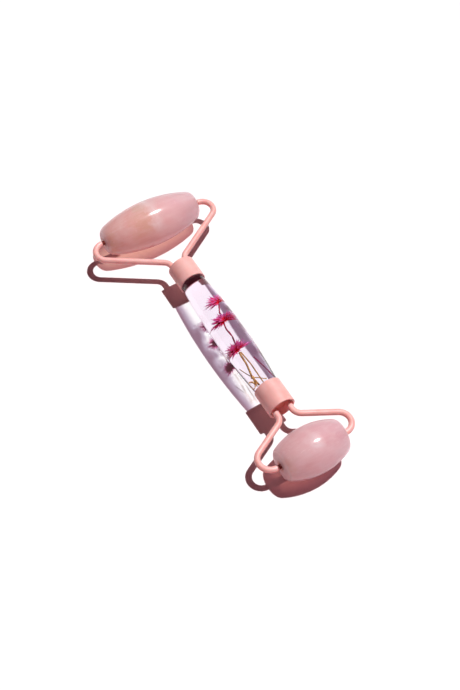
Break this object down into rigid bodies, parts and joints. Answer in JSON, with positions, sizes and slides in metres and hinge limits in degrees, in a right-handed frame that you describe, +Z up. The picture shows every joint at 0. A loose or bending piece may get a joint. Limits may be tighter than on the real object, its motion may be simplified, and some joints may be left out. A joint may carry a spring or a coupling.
{
  "type": "face roller",
  "caption": "Two-ended face roller: barrel-shaped rose quartz rollers spin in bent wire frames on a clear resin handle with dried flowers inside.",
  "frame": {"origin": "on the surface the roller rests on, midway between the two stones' axes", "axes": "+Y along the handle towards the large stone, +X along the stones' axes, +Z up from the surface"},
  "size_m": [0.0552, 0.1386, 0.0187],
  "materials": {
    "rose_quartz_veined": "polished, milky translucent, pale veils",
    "rose_quartz": "polished, milky translucent",
    "clear_resin": "clear, polished",
    "pink_enamel": "satin powder coat",
    "wire_enamel": "satin powder coat",
    "plug_enamel": "satin powder coat",
    "bushing_nylon": "dull, dark",
    "dried_petals": "papery, dry",
    "dried_stalk": "dry",
    "dried_straw": "dry",
    "dried_filament": "papery, dry"
  },
  "bodies": {
    "handle": {"handle_rod": "clear_resin", "large_ferrule": "pink_enamel", "small_ferrule": "pink_enamel", "large_plug": "plug_enamel", "small_plug": "plug_enamel", "large_frame_wire_left": "wire_enamel", "large_frame_wire_right": "wire_enamel", "small_frame_wire_left": "wire_enamel", "small_frame_wire_right": "wire_enamel", "upper_flower": "dried_petals", "middle_flower": "dried_petals", "lower_flower": "dried_petals", "flower_stalk": "dried_stalk", "straw_sprig": "dried_straw", "pale_stem": "dried_straw", "straw_ring": "dried_straw", "loose_filament": "dried_filament"},
    "large_roller": {"large_stone": "rose_quartz_veined", "large_bushing_left": "bushing_nylon", "large_bushing_right": "bushing_nylon"},
    "small_roller": {"small_stone": "rose_quartz", "small_bushing_left": "bushing_nylon", "small_bushing_right": "bushing_nylon"}
  },
  "joints": [
    {"name": "large_roller_spin", "type": "hinge", "parent": "handle", "child": "large_roller", "pos_m": [0, 0.06, 0.00935], "axis": [1, 0, 0], "continuous": true},
    {"name": "small_roller_spin", "type": "hinge", "parent": "handle", "child": "small_roller", "pos_m": [0, -0.06, 0.00935], "axis": [1, 0, 0], "continuous": true}
  ]
}
